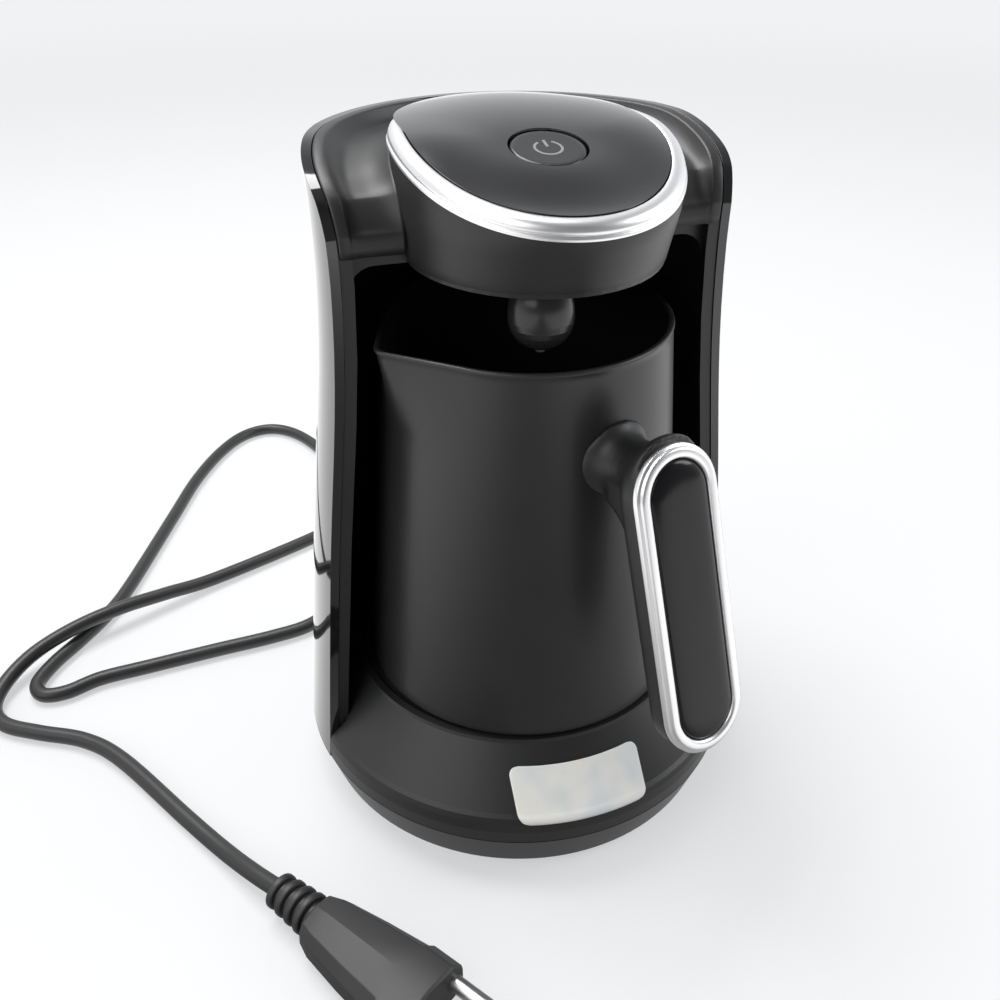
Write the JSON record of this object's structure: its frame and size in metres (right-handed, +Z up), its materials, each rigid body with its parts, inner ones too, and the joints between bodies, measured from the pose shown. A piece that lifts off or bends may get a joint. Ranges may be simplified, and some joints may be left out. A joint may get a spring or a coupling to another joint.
{
  "type": "electric turkish coffee maker",
  "caption": "Electric turkish coffee maker: round heating base with a rear hood and sloping push-button head, a pull-out pot with a grip handle, and a mains cord.",
  "frame": {"origin": "on the floor under the middle of the machine's outline without its cord", "axes": "+Z up, -Y towards the pot's handle and the button side, +X to the right when seen from the front"},
  "size_m": [0.2616, 0.3737, 0.2147],
  "materials": {
    "matt_black": "matt moulded, fine grain",
    "gloss_black": "high gloss",
    "silver_trim": "satin",
    "pot_coat": "satin non-stick coat",
    "plate_metal": "dark anodised",
    "bright_steel": "brushed",
    "soft_rubber": "matt",
    "cord_pvc": "satin",
    "plug_pvc": "satin moulded",
    "board_green": "satin",
    "part_black": "satin",
    "relay_blue": "satin",
    "fuse_white": "matt",
    "symbol_grey": "matt print",
    "label_white": "pearlescent blank sticker",
    "pin_metal": "polished nickel"
  },
  "bodies": {
    "machine": {"base_tray": "matt_black", "rubber_feet": "soft_rubber", "base_screws": "bright_steel", "base_deck": "matt_black", "heating_plate": "plate_metal", "plate_seal": "soft_rubber", "heating_element": "bright_steel", "plate_clamps": "bright_steel", "thermal_fuse": "fuse_white", "power_board": "board_green", "board_relay": "relay_blue", "front_frame": "matt_black", "rear_shell": "gloss_black", "head_cover": "matt_black", "probe_bulb": "part_black", "probe_pin": "bright_steel", "top_trim_ring": "silver_trim", "top_plate": "gloss_black", "control_board": "board_green", "board_screws": "bright_steel", "tact_switch": "part_black", "buzzer": "part_black", "cord_gland": "soft_rubber", "power_cord": "cord_pvc", "plug_body": "plug_pvc", "plug_pins": "pin_metal", "blank_label": "label_white"},
    "button": {"power_button": "gloss_black", "button_symbol": "symbol_grey"},
    "pot": {"pot_body": "pot_coat", "handle_body": "matt_black", "handle_trim": "silver_trim", "handle_inlay": "gloss_black", "handle_stud": "bright_steel", "handle_screw": "bright_steel"}
  },
  "joints": [
    {"name": "button_press", "type": "slide", "parent": "machine", "child": "button", "axis": [0, 0.2131, -0.977], "range_m": [0, 0.0012], "stiffness_N_per_m": 350},
    {"name": "pot_pull_out", "type": "slide", "parent": "machine", "child": "pot", "axis": [0, -1, 0], "range_m": [0, 0.165]}
  ]
}
